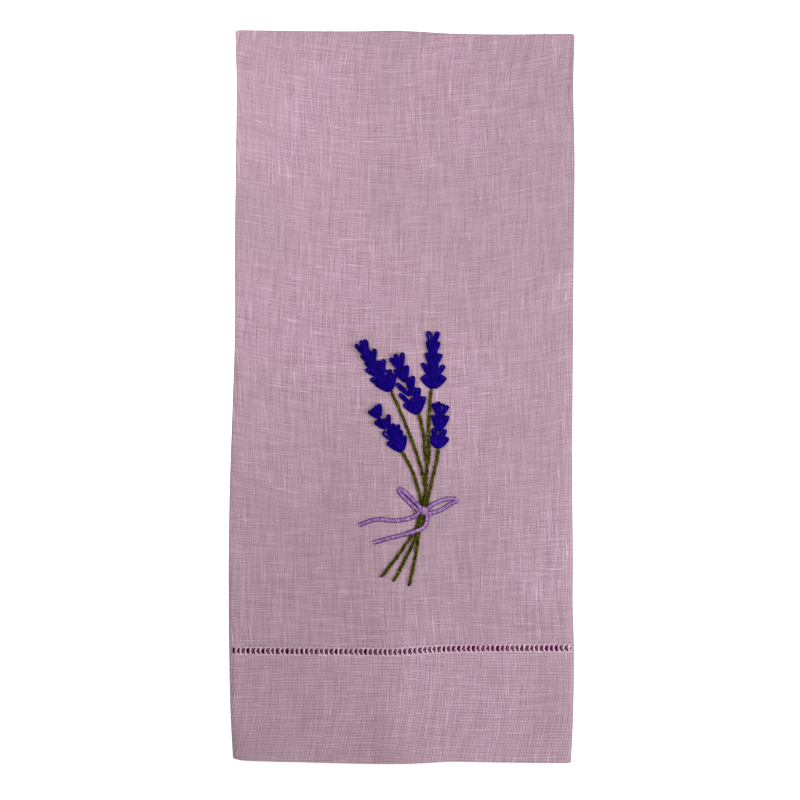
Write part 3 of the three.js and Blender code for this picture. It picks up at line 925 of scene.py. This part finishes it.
def on_row(across, up, out):
    """Points at a distance along the row, a height above its middle and a distance out of the face."""
    x, z, nx, nz, y = (np.interp(across, ROW_FAR, ROW_SPOTS[:, n]) for n in range(5))
    n = FACE + np.minimum(out, np.where(nz < 0, 0.0, 1.0))
    return np.stack([x + n * nx, y + up, z + n * nz], 1)


def lay_on_row(work, shape, across, up, turn, size, out=0.0, deep=0.0):
    local = shape["points"] * size
    a = math.radians(turn)
    side = local[:, 0] * math.cos(a) + local[:, 1] * math.sin(a)
    rise = local[:, 1] * math.cos(a) - local[:, 0] * math.sin(a)
    work.add(on_row(across + side, up + rise, out + local[:, 2]), shape, size, deep)


def bent_thread(work, shape, across, ups, sides, thick, out, deep=0.0):
    """A thread through the row that bends from side to side, as short straight stitches end to end."""
    for up, side, up_2, side_2 in zip(ups, sides, ups[1:], sides[1:]):
        long = math.hypot(side_2 - side, up_2 - up) + 0.45
        turn = math.degrees(math.atan2(side_2 - side, up_2 - up))
        middle = across + (side + side_2) / 2
        lay_on_row(work, shape, middle, (up + up_2) / 2, turn, (thick, long, thick), out, deep)


row_work = Stitches()
END = ROW_HALF + 0.3
for across in np.arange(1.5, ROW_FAR[-1], SHEAF_PITCH):
    if np.interp(across, ROW_FAR, ROW_SPOTS[:, 5]) < OPEN_ENOUGH:
        continue
    bend = -chance.uniform(-0.15, 0.85)
    for k in (-1, 0, 1):
        sides = (0.34 * k + bend, 0.22 * k + 0.35, 0.34 * k + 0.7 * bend)
        bent_thread(row_work, STRAIGHT, across, (-END, chance.uniform(-0.4, 0.3), END), sides, YARN, -0.2)
    if chance.random() < 0.74:
        away = chance.uniform(0.9, 1.4)
        sides = (away - 0.3, away + chance.uniform(0.1, 0.5), away - chance.uniform(0, 0.6))
        # The stray thread lies partly in painted shadow.
        deep = chance.uniform(0.2, 0.7)
        bent_thread(row_work, FINE, across, (-END, -0.1, END), sides, STRAY_YARN, -0.3, deep)
    for edge in (-1, 1):
        turn = 90 + chance.uniform(-10, 10)
        up = edge * (ROW_HALF + 0.45)
        lay_on_row(row_work, STRAIGHT, across, up, turn, (0.46, SHEAF_PITCH * 1.2, 0.4), -0.12)
        # The needle dips are fine stitches in painted shadow.
        if chance.random() < 0.85:
            side, up = chance.uniform(-0.3, 0.3), edge * (ROW_HALF + 1.5 + chance.uniform(-0.2, 0.2))
            turn = chance.uniform(60, 120)
            lay_on_row(row_work, FINE, across + side, up, turn, (0.5, 0.8, 0.2), -0.06, 0.9)
# The dips up the side hem are fine stitches in painted shadow.
for y in SIDE_HEM_DIPS:
    row_work.lay(FINE, SIDE_HEM_X, y, chance.uniform(-20, 20), (0.5, 0.85, 0.3), -0.05, 0.6)
hemstitch = row_work.mesh("hemstitch", LINEN_THREAD)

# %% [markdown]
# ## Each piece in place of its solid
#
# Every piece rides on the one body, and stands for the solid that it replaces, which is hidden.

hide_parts("towel_cloth")
for n, piece in enumerate(heads, 1):
    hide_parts(f"lavender_head_{n}")
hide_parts("stems")
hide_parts("bow")
for piece in (towel, hemstitch, stems, bow_piece, *heads):
    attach(piece, "root")

# %% [markdown]
# ## Floor, light and camera
#
# The towel lies on a plain white table, seen straight from above. An even pale surrounding gives most of
# the light. A stronger lamp stands low on the right, so that the ridge and the creases show, and a small
# window light near the upper left keeps that corner from falling dark. The table glows a little itself, so
# that it comes out white with hardly a shadow.

# %% Set the stage
def make_floor():
    bpy.ops.object.select_all(action="DESELECT")
    bpy.ops.mesh.primitive_plane_add(size=6, location=(0, 0, -0.0002))
    floor = bpy.context.object
    floor.name = "table"
    material, tree, shader = new_material("table_white", Roughness=0.9, Specular_IOR_Level=0.05)
    shader.inputs["Base Color"].default_value = (0.95, 0.95, 0.95, 1)
    shader.inputs["Emission Color"].default_value = (1, 1, 1, 1)
    shader.inputs["Emission Strength"].default_value = 0.55
    floor.data.materials.append(material)


def soft_light(name, place, aim, size, power, tint=(1, 1, 1)):
    light = bpy.data.lights.new(name, "AREA")
    light.shape, light.size, light.energy, light.color = "DISK", size, power, tint
    lamp = bpy.data.objects.new(name, light)
    way = np.array(aim, float) - np.array(place, float)
    lamp.location = place
    tilt = math.acos(-way[2] / np.linalg.norm(way))
    lamp.rotation_euler = (tilt, 0, math.atan2(way[1], way[0]) - math.pi / 2)
    bpy.context.scene.collection.objects.link(lamp)


PIXELS_PER_MM = 1.92
MIDDLE_PIXEL = (402.0, 397.5)  # where the middle of the panel falls in the 800 by 800 frame
LENS = 70
SENSOR = 36


def make_camera():
    view = bpy.data.cameras.new("camera")
    view.lens, view.sensor_width = LENS, SENSOR
    camera = bpy.data.objects.new("camera", view)
    frame_wide = 800 / PIXELS_PER_MM * MM
    face = (PANEL_Z + FACE) * MM
    x = (400 - MIDDLE_PIXEL[0]) / PIXELS_PER_MM * MM
    y = (MIDDLE_PIXEL[1] - 400) / PIXELS_PER_MM * MM
    camera.location = (x, y, face + frame_wide * LENS / SENSOR)
    bpy.context.scene.collection.objects.link(camera)
    bpy.context.scene.camera = camera


make_floor()
soft_light("window", (-0.33, 0.22, 0.26), (-0.1, 0.2, 0), 0.2, 1.66, (1.0, 1.0, 1.02))
soft_light("key", (0.61, -0.03, 0.28), (0, -0.02, 0), 0.25, 5.96, (0.98, 1.0, 1.04))
make_camera()
world = bpy.data.worlds.new("pale_room")
world.use_nodes = True
world.node_tree.nodes["Background"].inputs["Color"].default_value = (1.0, 0.98, 0.95, 1)
world.node_tree.nodes["Background"].inputs["Strength"].default_value = 0.63
bpy.context.scene.world = world
bpy.context.scene.view_settings.view_transform = "Standard"
